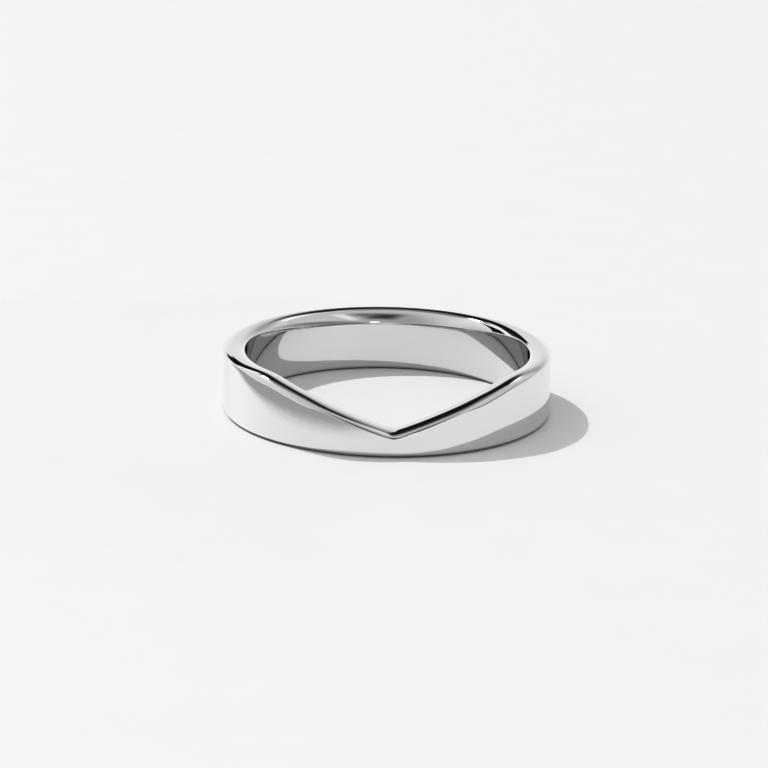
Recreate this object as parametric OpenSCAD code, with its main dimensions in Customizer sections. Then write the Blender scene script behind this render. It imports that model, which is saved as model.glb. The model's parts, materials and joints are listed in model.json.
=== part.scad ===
// A curved wedding band: one solid ring of polished white gold that lies on its flat edge.
// Its upper edge is a smooth dome at the sides and back, and a wide V dips across the front,
// cut straight through the wall from front to back. The ring's axis is Z and the V's point is at -Y.

/* [Band] */
// Diameter of the finger hole, in mm
bore_d = 16.5; // [14:0.1:23]
// Thickness of the wall from the finger hole to the outside
wall_t = 1.25; // [1.25:0.05:2.2]
// Height of the band at its sides and back
band_h = 3.77; // [3.4:0.01:5]

/* [Notch] */
// Height of the band at the point of the V
point_h = 1.38; // [1:0.01:1.8]
// Rise of each arm of the V, in degrees
arm_rise = 19.5; // [16:0.5:30]
// Distance from the point of the V over which it is softened
point_soft = 0.2; // [0.05:0.05:0.5]
// Depth over which an arm of the V blends into the full height
shoulder_blend = 0.18; // [0.04:0.02:0.6]

/* [Edges] */
// Width of the dome's inner rounding, from the finger hole outwards
crown_width = 0.85; // [0.3:0.05:1]
// Depth of the dome's inner rounding at the front and sides
crown_side = 0.27; // [0.1:0.01:0.6]
// Depth of the dome's inner rounding at the back
crown_back = 0.98; // [0.6:0.02:1.2]
// Width of the upper outer edge's rounding along the V, from the outside inwards
front_width = 0.8; // [0.3:0.05:1]
// Width of the upper outer edge's rounding at the sides and back
side_width = 0.5; // [0.3:0.05:1]
// Depth of the upper outer edge's rounding at the point of the V
point_round = 0.33; // [0.2:0.01:0.45]
// Depth of the upper outer edge's rounding at the shoulders of the V
shoulder_round = 0.54; // [0.2:0.01:0.6]
// Depth of the upper outer edge's rounding at the sides and back
side_round = 0.22; // [0.15:0.01:0.45]
// Broken inner edge along the arms of the V
inner_break = 0.05; // [0.04:0.01:0.2]
// Rounding of the lower outer edge
foot_round = 0.3; // [0.1:0.05:0.4]
// Rounding of the lower inner edge
foot_break = 0.22; // [0.08:0.02:0.3]

/* [Fineness] */
// Sections round the band that the upper edge is worked out at
sections = 120; // [60:12:132]
// Flats across the wall that each section of the upper edge has
flats = 15; // [12:1:18]

/* [Hidden] */

bore_r = bore_d / 2;
outer_r = bore_r + wall_t;
// Distances from the point of the V between which the outer rounding deepens to its shoulders
shoulder_from = 0.38 * outer_r;
shoulder_to = 0.55 * outer_r;
// Distances between which it eases to its size at the sides
side_from = 0.74 * outer_r;
side_to = 0.92 * outer_r;
// Distance behind the axis from which the dome's inner rounding deepens towards the back
back_from = 0.2 * outer_r;
// How far the cutting form stands past the walls and above the band
clearance = 1;
band_colour = [0.86, 0.86, 0.87];
arc_fn = 96;

// Drop of a rounded edge at distance d in from its wall. The edge is a quarter of an ellipse,
// w wide and h deep.
function drop(d, w, h) = d >= w ? 0 : h * (1 - sqrt(1 - pow(1 - d / w, 2)));

// The smaller of two heights, with the corner between them blended over k
function soft_min(p, q, k) = min(p, q) - pow(max(0, k - abs(p - q)), 2) / (4 * k);

// Smooth step from 0 at lo to 1 at hi
function ease(v, lo, hi) = let (t = min(1, max(0, (v - lo) / (hi - lo)))) t * t * (3 - 2 * t);

// Distance across from the point of the V at radius r and azimuth a, which goes on growing
// behind the widest place of the ring
function across(r, a) = r * abs(sin(a)) + max(0, -r * cos(a));

// Height of the V's plane, softened at its point
function arm_z(r, a) =
    point_h + tan(arm_rise) * (norm([across(r, a), point_soft]) - point_soft);

// How far azimuth a lies on the way from the shoulders of the V to the sides, from 0 to 1
function past_shoulder(a) = ease(across(outer_r, a), side_from, side_to);

// Width of the upper outer edge's rounding at azimuth a
function outer_width(a) = front_width + (side_width - front_width) * past_shoulder(a);

// Depth of the upper outer edge's rounding at azimuth a
function outer_depth(a) =
    point_round
    + (shoulder_round - point_round) * ease(across(outer_r, a), shoulder_from, shoulder_to)
    + (side_round - shoulder_round) * past_shoulder(a);

// Depth of the dome's inner rounding at azimuth a, which grows from the sides to the back
function crown_depth(a) =
    crown_side + (crown_back - crown_side) * ease(-outer_r * cos(a), back_from, outer_r);

// Height of the upper edge: the dome or the V, whichever is lower, less the outer rounding
function rim_z(r, a) =
    soft_min(
        band_h - drop(r - bore_r, crown_width, crown_depth(a)),
        arm_z(r, a) - drop(r - bore_r, inner_break, inner_break),
        shoulder_blend)
    - drop(outer_r - r, outer_width(a), outer_depth(a));

// Radii at which the upper edge is worked out, closer together near the two walls
rim_radii = [for (i = [0:flats]) bore_r + wall_t * (1 - cos(180 * i / flats)) / 2];

// Section of the upper edge at azimuth a as [radius, height]. Its first and last pieces run
// straight on past the walls, by as much again as they take inside them.
function rim_section(a) =
    let (
        rim = [for (r = rim_radii) [r, rim_z(r, a)]],
        last = len(rim) - 1)
    concat(
        [2 * rim[0] - rim[1]],
        [for (j = [1:last - 1]) rim[j]],
        [2 * rim[last] - rim[last - 1]]);

// Section of all that lies above the upper edge, as a closed loop
function cut_section(a) =
    let (
        rim = rim_section(a),
        low_in = rim[0][1],
        low_out = rim[len(rim) - 1][1],
        top = band_h + 2 * clearance)
    concat(
        [[bore_r - clearance, low_in]],
        rim,
        [[outer_r + clearance, low_out], [outer_r + clearance, top], [bore_r - clearance, top]]);

// The section's loops are placed round the axis and joined into one closed ring.
// The azimuth runs from the point of the V, at -Y, towards +X.
module above_rim() {
    loops = [for (i = [0:sections - 1])
        let (a = 360 * i / sections)
        [for (p = cut_section(a)) [p[0] * sin(a), -p[0] * cos(a), p[1]]]];
    count = len(loops[0]);
    points = [for (loop = loops) for (p = loop) p];
    faces = [for (i = [0:sections - 1]) for (j = [0:count - 1])
        let (
            i_next = (i + 1) % sections,
            j_next = (j + 1) % count,
            here = i * count + j,
            here_up = i * count + j_next,
            next = i_next * count + j,
            next_up = i_next * count + j_next)
        each [[here, here_up, next], [here_up, next_up, next]]];
    polyhedron(points, faces, convexity = 6);
}

// Section of the plain band before its upper edge is shaped, with its lower edges rounded
module stock_section() {
    translate([bore_r, foot_round])
        square([wall_t, band_h + clearance - foot_round]);
    translate([bore_r + foot_break, 0])
        square([wall_t - foot_break - foot_round, foot_round]);
    translate([outer_r - foot_round, foot_round])
        circle(foot_round, $fn = arc_fn);
    translate([bore_r, foot_break])
        square([foot_break, foot_round - foot_break]);
    translate([bore_r + foot_break, foot_break])
        circle(foot_break, $fn = arc_fn);
}

// The band: the plain ring less all that lies above its upper edge
module band() {
    color(band_colour)
        difference() {
            rotate_extrude($fn = arc_fn) stock_section();
            above_rim();
        }
}

band();
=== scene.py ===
import json
import math

import bpy
import numpy as np
from mathutils import Matrix, Vector


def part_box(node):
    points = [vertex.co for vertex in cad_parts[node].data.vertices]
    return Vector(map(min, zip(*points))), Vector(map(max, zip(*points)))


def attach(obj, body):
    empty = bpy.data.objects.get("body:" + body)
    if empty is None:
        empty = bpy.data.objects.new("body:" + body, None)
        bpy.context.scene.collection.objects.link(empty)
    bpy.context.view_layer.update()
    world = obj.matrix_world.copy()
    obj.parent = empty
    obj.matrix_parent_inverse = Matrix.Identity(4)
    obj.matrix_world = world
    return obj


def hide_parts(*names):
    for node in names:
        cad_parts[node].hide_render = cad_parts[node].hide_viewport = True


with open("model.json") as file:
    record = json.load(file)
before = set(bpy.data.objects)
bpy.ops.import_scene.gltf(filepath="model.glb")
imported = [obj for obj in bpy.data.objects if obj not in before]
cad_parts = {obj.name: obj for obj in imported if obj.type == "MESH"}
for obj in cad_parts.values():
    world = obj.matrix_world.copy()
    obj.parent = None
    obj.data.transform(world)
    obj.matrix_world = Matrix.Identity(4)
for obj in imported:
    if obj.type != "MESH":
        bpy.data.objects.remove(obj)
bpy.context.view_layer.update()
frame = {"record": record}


# The band
# The real piece is one ring of white gold, turned with a domed upper edge. A wide V is filed across the
# front, straight through the wall, its edges are eased, and the whole ring is polished to a mirror.

millimetre = 0.001

# The solid ring's own radii and height
ring_low, ring_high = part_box("band")
mounts = {mount["name"]: mount for mount in frame["record"]["mounts"]}
bore_radius = mounts["finger_bore"]["dims"]["r_mm"] * millimetre
outer_radius = (ring_high[0] - ring_low[0]) / 2
band_height = ring_high[2] - ring_low[2]

# The V's point and arms, and the blend of the arms into the full height
point_height = 1.38 * millimetre
arm_rise = math.radians(19.5)
point_soft = 0.2 * millimetre
shoulder_blend = 0.18 * millimetre

# The inner side of the upper edge: the dome's rounding, deeper at the back, and the arms' broken edge
crown_width = 0.85 * millimetre
crown_side = 0.27 * millimetre
crown_back = 0.98 * millimetre
back_from = 0.2 * outer_radius
inner_break = 0.05 * millimetre

# The outer side of the upper edge: its rounding at the point, shoulders and sides, and the distances
# across from the point over which one goes over into the next
point_round = 0.33 * millimetre
shoulder_round = 0.54 * millimetre
side_round = 0.22 * millimetre
front_width = 0.8 * millimetre
side_width = 0.5 * millimetre
shoulder_from, shoulder_to = 0.38 * outer_radius, 0.55 * outer_radius
side_from, side_to = 0.74 * outer_radius, 0.92 * outer_radius

# The lower edges, outside and inside
foot_round = 0.3 * millimetre
foot_break = 0.22 * millimetre

# Steps of the mesh round the ring, up each wall, over the upper edge and round each lower edge
turn_steps = 720
wall_steps = 16
rim_steps = 64
foot_steps = 8
sharp_angle = math.radians(20)


def edge_drop(inset, width, depth):
    """How far a rounded edge lies below its top: a quarter of an ellipse, depth times (1 less the root of
    1 less (1 less inset over width) squared), and nothing once the inset from the wall passes the width."""
    left = np.clip(1 - inset / width, 0, 1)
    return depth * (1 - np.sqrt(1 - left**2))


def soft_lower(one, other, blend):
    """The lower of two heights, less (blend less their difference) squared over four blends near the
    corner between them."""
    return np.minimum(one, other) - np.maximum(0, blend - np.abs(one - other)) ** 2 / (4 * blend)


def eased(value, start, end):
    """A smooth step from 0 at start to 1 at end: t squared times (3 less 2 t), t being the share of the
    way."""
    t = np.clip((value - start) / (end - start), 0, 1)
    return t * t * (3 - 2 * t)


def across_from_point(radius, azimuth):
    """Distance across the ring from the point of the V: radius times the sine of the azimuth, plus how far
    the place lies behind the ring's widest line."""
    return radius * np.abs(np.sin(azimuth)) + np.maximum(0, -radius * np.cos(azimuth))


def past_shoulder(azimuth):
    """How far a place lies past the shoulders of the V: the smooth step of its distance across from the
    point, 0 up to side_from and 1 from side_to on."""
    return eased(across_from_point(outer_radius, azimuth), side_from, side_to)


def outer_width(azimuth):
    """Width of the upper outer edge's rounding, from the outer wall inwards: the front's, plus its
    difference from the sides' times the step past the shoulders."""
    return front_width + (side_width - front_width) * past_shoulder(azimuth)


def outer_depth(azimuth):
    """Depth of the upper outer edge's rounding: the point's, plus a smooth step up to the shoulders' and
    another down to the sides'."""
    to_shoulder = eased(across_from_point(outer_radius, azimuth), shoulder_from, shoulder_to)
    depth = point_round + (shoulder_round - point_round) * to_shoulder
    return depth + (side_round - shoulder_round) * past_shoulder(azimuth)


def crown_depth(azimuth):
    """Depth of the dome's inner rounding: the sides', plus a smooth step up to the back's by the distance
    behind the axis."""
    growth = eased(-outer_radius * np.cos(azimuth), back_from, outer_radius)
    return crown_side + (crown_back - crown_side) * growth


def upper_edge(radius, azimuth):
    """Height of the upper edge: the lower of the dome and the V's plane, less the outer edge's rounding.
    The dome is the full height less its inner rounding. The plane rises from the point by its slope times
    the distance across, taken as the root of its square plus point_soft's square, less point_soft."""
    inset = radius - bore_radius
    dome = band_height - edge_drop(inset, crown_width, crown_depth(azimuth))
    across = across_from_point(radius, azimuth)
    arm = point_height + math.tan(arm_rise) * (np.hypot(across, point_soft) - point_soft)
    arm = arm - edge_drop(inset, inner_break, inner_break)
    rounded = edge_drop(outer_radius - radius, outer_width(azimuth), outer_depth(azimuth))
    return soft_lower(dome, arm, shoulder_blend) - rounded


def band_surface():
    """The ring's skin as rows of azimuth by columns of section. The section runs up the inner wall, over
    the upper edge, down the outer wall and back under the foot, and is carried once round the Z axis from
    -Y: x is the radius times the azimuth's sine, and y is less the radius times its cosine. The radii over
    the upper edge follow a cosine, closer together at the walls. The lower edges are quarter circles."""
    azimuth = np.linspace(0, 2 * math.pi, turn_steps, endpoint=False)[:, None]
    wall = outer_radius - bore_radius
    rim_r = bore_radius + wall * (1 - np.cos(np.linspace(0, math.pi, rim_steps + 1))) / 2
    rim_r = np.broadcast_to(rim_r, (turn_steps, rim_steps + 1))
    rim_z = upper_edge(rim_r, azimuth)
    up = np.linspace(0, 1, wall_steps + 1)[None, 1:-1]
    inner_z = foot_break + (rim_z[:, :1] - foot_break) * up
    outer_z = foot_round + (rim_z[:, -1:] - foot_round) * up[:, ::-1]
    turn = np.linspace(0, math.pi / 2, foot_steps + 1)
    foot_out_r = outer_radius - foot_round * (1 - np.cos(turn))
    foot_out_z = foot_round * (1 - np.sin(turn))
    foot_in_r = bore_radius + foot_break * (1 - np.cos(turn[::-1]))
    foot_in_z = foot_break * (1 - np.sin(turn[::-1]))
    foot_r = np.concatenate([foot_out_r, foot_in_r])
    foot_z = np.concatenate([foot_out_z, foot_in_z])
    radius = np.concatenate([
        np.full((turn_steps, up.shape[1]), bore_radius),
        rim_r,
        np.full((turn_steps, up.shape[1]), outer_radius),
        np.broadcast_to(foot_r, (turn_steps, len(foot_r))),
    ], axis=1)
    height = np.concatenate([
        inner_z,
        rim_z,
        outer_z,
        np.broadcast_to(foot_z, (turn_steps, len(foot_z))),
    ], axis=1)
    return np.stack([radius * np.sin(azimuth), -radius * np.cos(azimuth), height], axis=-1)


def closed_mesh(name, grid):
    """A mesh of quads over a grid of points whose rows and columns both close on themselves. It is smooth
    but for the edges that turn by more than the sharp angle."""
    rows, columns = grid.shape[:2]
    index = np.arange(rows * columns).reshape(rows, columns)
    next_row = np.roll(index, -1, axis=0)
    next_column = np.roll(index, -1, axis=1)
    corner = np.roll(next_row, -1, axis=1)
    quads = np.stack([index, next_column, corner, next_row], axis=-1).reshape(-1, 4)
    mesh = bpy.data.meshes.new(name)
    mesh.vertices.add(rows * columns)
    mesh.vertices.foreach_set("co", grid.reshape(-1))
    mesh.loops.add(quads.size)
    mesh.loops.foreach_set("vertex_index", quads.reshape(-1).astype(np.int32))
    mesh.polygons.add(len(quads))
    mesh.polygons.foreach_set("loop_start", np.arange(0, quads.size, 4, dtype=np.int32))
    mesh.polygons.foreach_set("use_smooth", np.ones(len(quads), dtype=bool))
    mesh.update(calc_edges=True)
    mesh.set_sharp_from_angle(angle=sharp_angle)
    mesh.validate()
    return mesh


def placed(name, data):
    """A new object that shows the data, in the scene at the origin."""
    thing = bpy.data.objects.new(name, data)
    bpy.context.collection.objects.link(thing)
    return thing


def feed(tree, socket, value):
    """Gives an input its value: a link where it is another node's output, or else the value itself."""
    if isinstance(value, bpy.types.NodeSocket):
        tree.links.new(value, socket)
    else:
        socket.default_value = value


def noise(tree, place, scale, detail):
    """Noise from 0 to 1 over the places, with scale patches to the unit and detail finer layers on it."""
    node = tree.nodes.new("ShaderNodeTexNoise")
    feed(tree, node.inputs["Vector"], place)
    feed(tree, node.inputs["Scale"], scale)
    feed(tree, node.inputs["Detail"], detail)
    return node.outputs["Fac"]


def relief(tree, height, strength, depth):
    """Normals that tilt with the slope of the height times the depth in metres, by a share of strength."""
    node = tree.nodes.new("ShaderNodeBump")
    feed(tree, node.inputs["Height"], height)
    feed(tree, node.inputs["Strength"], strength)
    feed(tree, node.inputs["Distance"], depth)
    return node.outputs["Normal"]


def ramp(tree, value, start, end, low=0, high=1, smooth=False):
    """Low up to the start, high from the end on, and between them low plus the difference times the share
    of the way, which smooth turns into a smooth step."""
    node = tree.nodes.new("ShaderNodeMapRange")
    node.interpolation_type = "SMOOTHSTEP" if smooth else "LINEAR"
    feed(tree, node.inputs["Value"], value)
    feed(tree, node.inputs["From Min"], start)
    feed(tree, node.inputs["From Max"], end)
    feed(tree, node.inputs["To Min"], low)
    feed(tree, node.inputs["To Max"], high)
    return node.outputs["Result"]


# The numbers of a mix node's two inputs and of its output, for single values and for colours
mix_sockets = {"FLOAT": (2, 3, 0), "RGBA": (6, 7, 2)}


def mixed(tree, kind, share, one, other):
    """One value times (1 less the share) plus the other times the share. The kind is FLOAT or RGBA."""
    node = tree.nodes.new("ShaderNodeMix")
    node.data_type = kind
    one_at, other_at, result_at = mix_sockets[kind]
    feed(tree, node.inputs["Factor"], share)
    feed(tree, node.inputs[one_at], one)
    feed(tree, node.inputs[other_at], other)
    return node.outputs[result_at]


def measured(tree, operation, one, other=(0, 0, 0)):
    """A number from one vector, its LENGTH, or from two, their DISTANCE or DOT_PRODUCT."""
    node = tree.nodes.new("ShaderNodeVectorMath")
    node.operation = operation
    feed(tree, node.inputs[0], one)
    feed(tree, node.inputs[1], other)
    return node.outputs["Value"]


band = placed("polished_band", closed_mesh("polished_band", band_surface()))

white_gold = bpy.data.materials.new("white_gold")
white_gold.use_nodes = True
gold = white_gold.node_tree
skin = gold.nodes["Principled BSDF"]
skin.inputs["Metallic"].default_value = 1.0
place = gold.nodes.new("ShaderNodeTexCoord").outputs["Object"]

# Polishing marks about 0.03 mm wide and over a millimetre long, which run round the ring
marks_scale = (700, 700, 30000)
marks_depth = 0.0004 * millimetre
along_the_ring = gold.nodes.new("ShaderNodeMapping")
feed(gold, along_the_ring.inputs["Vector"], place)
feed(gold, along_the_ring.inputs["Scale"], marks_scale)
marks = noise(gold, along_the_ring.outputs["Vector"], scale=1, detail=3)
feed(gold, skin.inputs["Normal"], relief(gold, marks, strength=0.5, depth=marks_depth))

# The wall of the finger hole has a tone a little darker than the outside's, so it mirrors a little less.
# Its tone goes over into the mirror's on the first part of the upper edge.
mirror_tone = (0.765, 0.765, 0.77, 1)
hole_tone = (0.7, 0.7, 0.705, 1)
hole_fade = 0.1 * millimetre
coordinates = gold.nodes.new("ShaderNodeSeparateXYZ")
feed(gold, coordinates.inputs["Vector"], place)
level = gold.nodes.new("ShaderNodeCombineXYZ")
feed(gold, level.inputs["X"], coordinates.outputs["X"])
feed(gold, level.inputs["Y"], coordinates.outputs["Y"])
from_axis = measured(gold, "LENGTH", level.outputs["Vector"])
outside = ramp(gold, from_axis, bore_radius, bore_radius + hole_fade, smooth=True)
wall_tone = mixed(gold, "RGBA", outside, hole_tone, mirror_tone)

# The foot's edge, which the buffing wheel doesn't reach, stays a rougher satin. Its colour is also darkened
# there: a painted contact shade along the line where the ring meets the paper.
shaded_satin_foot_up_to = 0.26 * millimetre
# The dark colour of the painted contact shade at the foot
painted_foot_shade_tone = (0.14, 0.14, 0.143, 1)
satin_roughness = 0.3
above_shaded_satin_foot = ramp(gold, coordinates.outputs["Z"], 0, shaded_satin_foot_up_to, smooth=True)
feed(gold, skin.inputs["Base Color"], mixed(gold, "RGBA", above_shaded_satin_foot, painted_foot_shade_tone, wall_tone))

# The mirror is a little softer in patches about 2 mm wide, where the wheel pressed less
sharpest, softest = 0.02, 0.045
sharp_below, soft_above = 0.3, 0.7
patches = noise(gold, place, scale=500, detail=4)
buffing = ramp(gold, patches, sharp_below, soft_above, sharpest, softest)
feed(gold, skin.inputs["Roughness"], mixed(gold, "FLOAT", above_shaded_satin_foot, satin_roughness, buffing))
band.data.materials.append(white_gold)

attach(band, "root")
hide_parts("band")


# The paper that the ring lies on
# A large sheet of smooth white card. It is matt, with a faint grain, and shines a little where the key
# light grazes it.

paper_half = 1.5
paper_palest, paper_darkest = 0.89, 0.85
paper_mesh = bpy.data.meshes.new("paper_floor")
paper_corners = [(-paper_half, -paper_half, 0), (paper_half, -paper_half, 0),
                 (paper_half, paper_half, 0), (-paper_half, paper_half, 0)]
paper_mesh.from_pydata(paper_corners, [], [(0, 1, 2, 3)])
paper_floor = placed("paper_floor", paper_mesh)

white_card = bpy.data.materials.new("white_card")
white_card.use_nodes = True
paper = white_card.node_tree
sheet = paper.nodes["Principled BSDF"]
sheet.inputs["Roughness"].default_value = 0.66
sheet.inputs["IOR"].default_value = 2.1
sheet.inputs["Specular IOR Level"].default_value = 1.0
place = paper.nodes.new("ShaderNodeTexCoord").outputs["Object"]
mottle = noise(paper, place, scale=260, detail=5)
feed(paper, sheet.inputs["Base Color"], ramp(paper, mottle, 0, 1, paper_darkest, paper_palest))
tooth = noise(paper, place, scale=6000, detail=3)
feed(paper, sheet.inputs["Normal"], relief(paper, tooth, strength=0.3, depth=0.01 * millimetre))
paper_mesh.materials.append(white_card)


# The key light
# One small hard light, high on the left and behind the ring. It casts the ring's shadow to the right front.

# The light, the studio and the camera are turned by this angle, because the photo's V points a little to
# the right of the middle
photo_turn = math.radians(-2.6)
key_direction = (-0.485, 0.379, 0.788)
key_energy = 1.54
key_width = math.radians(1.5)


def turned(direction):
    """A direction given from straight in front of the ring, turned by photo_turn about the Z axis."""
    return Matrix.Rotation(photo_turn, 3, "Z") @ Vector(direction)


sun_data = bpy.data.lights.new("key_sun", "SUN")
sun_data.energy = key_energy
sun_data.angle = key_width
sun = placed("key_sun", sun_data)
sun.rotation_euler = turned(key_direction).to_track_quat("Z", "Y").to_euler()


# The studio round the ring
# Pale walls, a little brighter on the left, with dark flags and bright boards before them. The polished
# metal mirrors them, and they give the soft light.

# Each row is one soft-edged board: the azimuth and elevation of its middle, its tilt and half its width
# and height in degrees, how soft its edge is as a share of those, and its tone
studio_columns = ("azimuth", "elevation", "tilt", "half_width", "half_height", "edge", "tone")
studio_boards = {
    "glow_low_behind": (-2, -4, 1, 34, 15, 0.48, 0.95),
    "dull_front": (190, 32, -11, 36, 73, 0.96, 0.44),
    "dark_in_front": (175, 43, 6, 11, 18, 0.6, 0.06),
    "flag_overhead": (-19, 62, -19, 19, 18, 0.3, 0.27),
    "flag_behind": (351, 49, -15, 26, 15, 0.14, 0.01),
    "smudge_behind": (27, 31, -5, 17, 10, 0.88, 0.45),
    "window_behind": (47, 53, -63, 8, 8, 0.6, 0.85),
    "gleam_behind": (44, 48.5, 0, 5.5, 3.5, 0.6, 1.3),
    "strip_right_front": (139, 41, -30, 3.5, 24, 0.6, 0.85),
    "glow_round_key": (298, 43, 53, 16, 12, 0.6, 0.9),
    "flag_left_behind": (331, 31, 22, 12, 15, 0.12, 0.01),
    "flag_low_behind": (339, 33, 0, 8.5, 12, 0.12, 0.01),
    "flag_right_front": (155, 53, -28, 6, 12, 0.92, 0.21),
    "low_left": (261, 11, -34, 30, 17, 0.96, 0.66),
    "low_right": (121, 13, 14, 37, 8, 0.96, 0.25),
    "gap_between_flags": (313, 31, 26, 3.4, 18, 0.25, 1.1),
    "reflector_at_key": (315, 54, 0, 3, 2.4, 0.6, 9),
    "reflector_in_front": (169, 2, 0, 3, 4, 0.6, 3),
}
left_tone = 0.91
right_tone = 0.65
fill = 1.13


def studio_direction(azimuth, elevation):
    """The direction at an azimuth and elevation in degrees: x is the azimuth's sine and y its cosine, both
    times the elevation's cosine, and z is the elevation's sine, all turned with the photo. The azimuth
    starts straight behind the ring and runs clockwise, seen from above."""
    azimuth, elevation = math.radians(azimuth), math.radians(elevation)
    level = math.cos(elevation)
    return turned((level * math.sin(azimuth), level * math.cos(azimuth), math.sin(elevation)))


def arithmetic(tree, operation, one, other=0):
    """One step of arithmetic: MULTIPLY, SUBTRACT, DIVIDE, GREATER_THAN, or ABSOLUTE for the first alone."""
    node = tree.nodes.new("ShaderNodeMath")
    node.operation = operation
    feed(tree, node.inputs[0], one)
    feed(tree, node.inputs[1], other)
    return node.outputs["Value"]


def faded(tree, out, edge):
    """Cover along one way of a board: a smooth step from 1 to 0 as the distance out from its middle, either
    way, goes from 1 less the edge to 1 plus the edge."""
    return ramp(tree, arithmetic(tree, "ABSOLUTE", out), 1 + edge, 1 - edge, smooth=True)


def board_cover(tree, direction, board):
    """How far a board covers a direction: 1 on the board and 0 off it. The distances out from its middle
    are the direction's dot products with the board's width and height ways, each over the sine of half its
    size. Each way's cover is multiplied by the other's, and behind the viewer it is 0."""
    centre = studio_direction(board["azimuth"], board["elevation"])
    right = centre.cross(Vector((0, 0, 1))).normalized()
    right = Matrix.Rotation(math.radians(board["tilt"]), 3, centre) @ right
    up = right.cross(centre)
    across = measured(tree, "DOT_PRODUCT", direction, right / math.sin(math.radians(board["half_width"])))
    rise = measured(tree, "DOT_PRODUCT", direction, up / math.sin(math.radians(board["half_height"])))
    across_cover = faded(tree, across, board["edge"])
    rise_cover = faded(tree, rise, board["edge"])
    ahead = arithmetic(tree, "GREATER_THAN", measured(tree, "DOT_PRODUCT", direction, centre), 0)
    return arithmetic(tree, "MULTIPLY", arithmetic(tree, "MULTIPLY", across_cover, rise_cover), ahead)


def build_studio():
    """The world's light: a tone that runs evenly from the left wall's to the right wall's, with each
    board's tone mixed over it in turn by its cover. Matt surfaces get fill times as much of it."""
    world = bpy.data.worlds.new("studio")
    bpy.context.scene.world = world
    world.use_nodes = True
    tree = world.node_tree
    direction = tree.nodes.new("ShaderNodeTexCoord").outputs["Generated"]
    to_the_right = measured(tree, "DOT_PRODUCT", direction, studio_direction(90, 0))
    tone = ramp(tree, to_the_right, -1, 1, left_tone, right_tone)
    for row in studio_boards.values():
        board = dict(zip(studio_columns, row))
        tone = mixed(tree, "FLOAT", board_cover(tree, direction, board), tone, board["tone"])
    mirrored = tree.nodes.new("ShaderNodeLightPath").outputs["Is Glossy Ray"]
    feed(tree, tree.nodes["Background"].inputs["Color"], tone)
    feed(tree, tree.nodes["Background"].inputs["Strength"], ramp(tree, mirrored, 0, 1, fill, 1))


build_studio()


# The painted shadow card at the ring's left front
# A thin grey card that only the metal mirrors. It is a painted shadow: it lies just over the paper and
# stands for a shadow on it, which the outer wall mirrors as the dark wedge below the left arm.

card_height = 0.05 * millimetre
card_far = 26 * millimetre
# The grey of the painted shadow
painted_shadow_grey = 0.45

# The painted shadow's near edge is a wide arc, which fades over half a width either way. Along arc_way the
# edge goes from soft, in front of the ring, to crisp, at its left.
arc_centre = Vector((2, 5, 0)) * millimetre
arc_radius = 19.4 * millimetre
arc_way = Vector((-0.6, 0.8, 0))
soft_at, crisp_at = -1 * millimetre, 9 * millimetre
soft_half, crisp_half = 2.1 * millimetre, 0.7 * millimetre

# Its right end fades out between these two places across the ring
gone_at, whole_at = 0, -6 * millimetre


def mirrored_card(name, corners, tone):
    """A matt card of one face through its corners. Camera, diffuse, transmission, volume and shadow rays
    pass it, so it shows only where the metal mirrors it."""
    mesh = bpy.data.meshes.new(name)
    mesh.from_pydata(corners, [], [tuple(range(len(corners)))])
    thing = placed(name, mesh)
    thing.visible_camera = False
    thing.visible_diffuse = False
    thing.visible_transmission = False
    thing.visible_volume_scatter = False
    thing.visible_shadow = False
    finish = bpy.data.materials.new(name)
    finish.use_nodes = True
    face = finish.node_tree.nodes["Principled BSDF"]
    face.inputs["Base Color"].default_value = (tone, tone, tone, 1)
    face.inputs["Roughness"].default_value = 1.0
    face.inputs["Specular IOR Level"].default_value = 0.0
    mesh.materials.append(finish)
    return thing


grey_corners = [(-card_far, -card_far, card_height), (0, -card_far, card_height),
                (0, card_far, card_height), (-card_far, card_far, card_height)]
painted_shadow_card = mirrored_card("painted_shadow_card", grey_corners, painted_shadow_grey)

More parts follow.
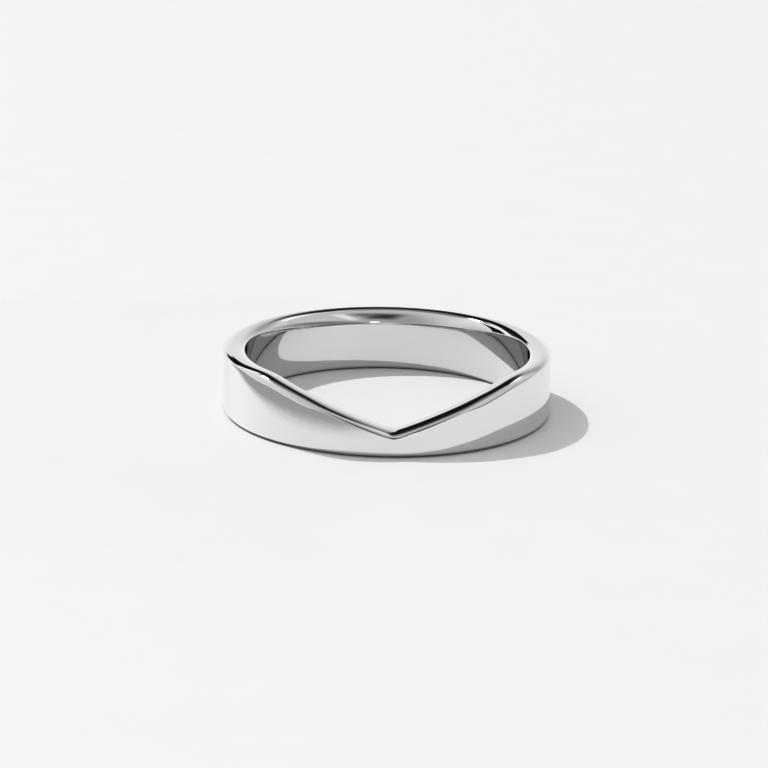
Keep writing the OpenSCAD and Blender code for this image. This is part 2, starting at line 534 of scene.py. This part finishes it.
card = painted_shadow_card.data.materials[0].node_tree
place = card.nodes.new("ShaderNodeTexCoord").outputs["Object"]
past_arc = arithmetic(card, "SUBTRACT", measured(card, "DISTANCE", place, arc_centre), arc_radius)
along_arc = measured(card, "DOT_PRODUCT", place, arc_way)
softness = ramp(card, along_arc, soft_at, crisp_at, soft_half, crisp_half)
near_edge = ramp(card, arithmetic(card, "DIVIDE", past_arc, softness), -1, 1, smooth=True)
right_end = ramp(card, measured(card, "DOT_PRODUCT", place, (1, 0, 0)), gone_at, whole_at, smooth=True)
face = card.nodes["Principled BSDF"]
feed(card, face.inputs["Alpha"], arithmetic(card, "MULTIPLY", near_edge, right_end))


# The black card at the ring's left back
# A small black card, pointed at its top, that only the metal mirrors. It stands near the ring, so the dome
# shows it at the right back alone, as a dark lens beside the bright gap between the flags.

card_black = 0.01

# The place on the dome that mirrors it, and the distance, azimuths and elevations of its corners from there
mirrored_at = Vector((6.6, 5.2, 3.5)) * millimetre
black_distance = 30 * millimetre
black_directions = ((300, 49), (304, 33), (294, 9), (279, 12), (288, 34))

black_corners = [mirrored_at + black_distance * studio_direction(*way) for way in black_directions]
black_card = mirrored_card("black_card", black_corners, card_black)


# The camera
# It looks down on the ring from in front, at the photo's angle. The photo gives the ring's outer radius,
# the place of its middle on the paper, the camera's height and its roll.

photo_side = 768
ring_px = 162.33
centre_px = (386.23, 407.75)
distance = 14.5 * outer_radius
elevation = math.radians(16.99)
roll = math.radians(1.22)

camera_data = bpy.data.cameras.new("photo_camera")
camera_data.sensor_width = 36
camera_data.lens = ring_px * distance / outer_radius / photo_side * camera_data.sensor_width
camera_data.clip_start = millimetre
camera_data.shift_x = (photo_side / 2 - centre_px[0]) / photo_side
camera_data.shift_y = (centre_px[1] - photo_side / 2) / photo_side
camera = placed("photo_camera", camera_data)
view = turned((0, math.cos(elevation), -math.sin(elevation)))
side = view.cross(Vector((0, 0, 1))).normalized()
rolled = Matrix.Rotation(-roll, 3, view)
axes = Matrix((rolled @ side, rolled @ side.cross(view), -view)).transposed()
camera.matrix_world = Matrix.Translation(-view * distance) @ axes.to_4x4()
bpy.context.scene.camera = camera

# How the photo's tones follow the light: each pair is the scene's tone and the tone shown
tone_curve = ((0.32, 0.277), (0.45, 0.479), (0.614, 0.701), (0.83, 0.879))
all_channels = 3
development = bpy.context.scene.view_settings
development.view_transform = "Standard"
development.use_curve_mapping = True
for seen, shown in tone_curve:
    development.curve_mapping.curves[all_channels].points.new(seen, shown)
development.curve_mapping.update()
